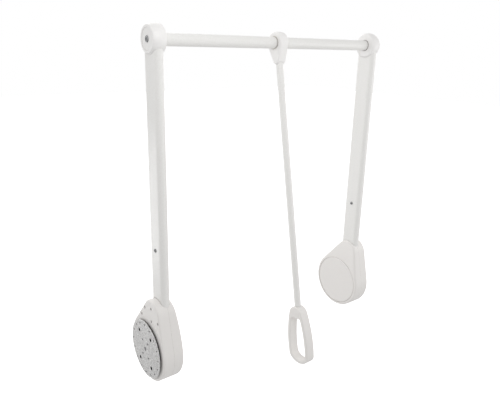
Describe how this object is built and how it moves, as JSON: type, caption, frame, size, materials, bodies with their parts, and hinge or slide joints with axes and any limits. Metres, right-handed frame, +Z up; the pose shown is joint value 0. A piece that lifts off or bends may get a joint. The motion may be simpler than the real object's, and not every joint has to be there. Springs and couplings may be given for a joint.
{
  "type": "pull down closet rod",
  "caption": "Bar for hanging clothes on two spring-loaded arms that swing forward and down on wall plates, with a hanging pull handle.",
  "frame": {"origin": "centre of the left base plate on the face that lies on the wardrobe's side, on the axis the arms turn about", "axes": "+X across the wardrobe to the right base plate, +Y to the back of the wardrobe, -Y to the user, +Z up along the arms at rest"},
  "size_m": [0.73, 0.287, 0.8401],
  "materials": {
    "white_plastic": "satin",
    "white_lacquered_steel": "satin",
    "zinc_plated_steel": "satin",
    "sintered_steel": "matte",
    "spring_steel": "satin",
    "bearing_plastic": "matte"
  },
  "bodies": {
    "base_plates": {"left_base_plate": "zinc_plated_steel", "left_pinion": "sintered_steel", "left_pivot_pin": "zinc_plated_steel", "left_pivot_washer": "zinc_plated_steel", "left_pivot_nut": "zinc_plated_steel", "right_base_plate": "zinc_plated_steel", "right_pinion": "sintered_steel", "right_pivot_pin": "zinc_plated_steel", "right_pivot_washer": "zinc_plated_steel", "right_pivot_nut": "zinc_plated_steel"},
    "lift_frame": {"left_outer_shell": "white_plastic", "left_inner_shell": "white_plastic", "left_cover_cap": "white_plastic", "left_pivot_bush": "bearing_plastic", "left_glide_ring": "bearing_plastic", "left_arm_screws": "zinc_plated_steel", "left_shell_screws": "zinc_plated_steel", "left_arm_tube": "white_lacquered_steel", "left_spring_abutment": "bearing_plastic", "left_cross_screws": "zinc_plated_steel", "left_springs": "spring_steel", "left_rack_guide": "bearing_plastic", "left_knuckle": "white_plastic", "left_knuckle_screw": "zinc_plated_steel", "left_bar_plug": "bearing_plastic", "right_outer_shell": "white_plastic", "right_inner_shell": "white_plastic", "right_cover_cap": "white_plastic", "right_pivot_bush": "bearing_plastic", "right_glide_ring": "bearing_plastic", "right_arm_screws": "zinc_plated_steel", "right_shell_screws": "zinc_plated_steel", "right_arm_tube": "white_lacquered_steel", "right_spring_abutment": "bearing_plastic", "right_cross_screws": "zinc_plated_steel", "right_springs": "spring_steel", "right_rack_guide": "bearing_plastic", "right_knuckle": "white_plastic", "right_knuckle_screw": "zinc_plated_steel", "right_bar_plug": "bearing_plastic", "crossbar": "white_lacquered_steel"},
    "left_rack": {"left_rack": "sintered_steel", "left_spring_seat": "bearing_plastic"},
    "right_rack": {"right_rack": "sintered_steel", "right_spring_seat": "bearing_plastic"},
    "pull_handle": {"collar": "white_plastic", "collar_liner": "bearing_plastic", "pull_rod": "white_lacquered_steel", "handle_grip": "white_plastic"}
  },
  "joints": [
    {"name": "swing", "type": "hinge", "parent": "base_plates", "child": "lift_frame", "pos_m": [0, 0, 0], "axis": [1, 0, 0], "range_deg": [0, 100], "stiffness_Nm_per_rad": 11.5, "springref_deg": -28.65},
    {"name": "left_rack_slide", "type": "slide", "parent": "lift_frame", "child": "left_rack", "axis": [0, 0, 1], "range_m": [0, 0.042], "deforming": ["left_springs"]},
    {"name": "right_rack_slide", "type": "slide", "parent": "lift_frame", "child": "right_rack", "axis": [0, 0, 1], "range_m": [0, 0.042], "deforming": ["right_springs"]},
    {"name": "handle_swing", "type": "hinge", "parent": "lift_frame", "child": "pull_handle", "pos_m": [0.365, -0.024, 0.72], "axis": [1, 0, 0], "continuous": true}
  ],
  "couplings": [
    {"joint": "left_rack_slide", "follows": "swing", "m_per_rad": 0.024},
    {"joint": "right_rack_slide", "follows": "swing", "m_per_rad": 0.024}
  ]
}
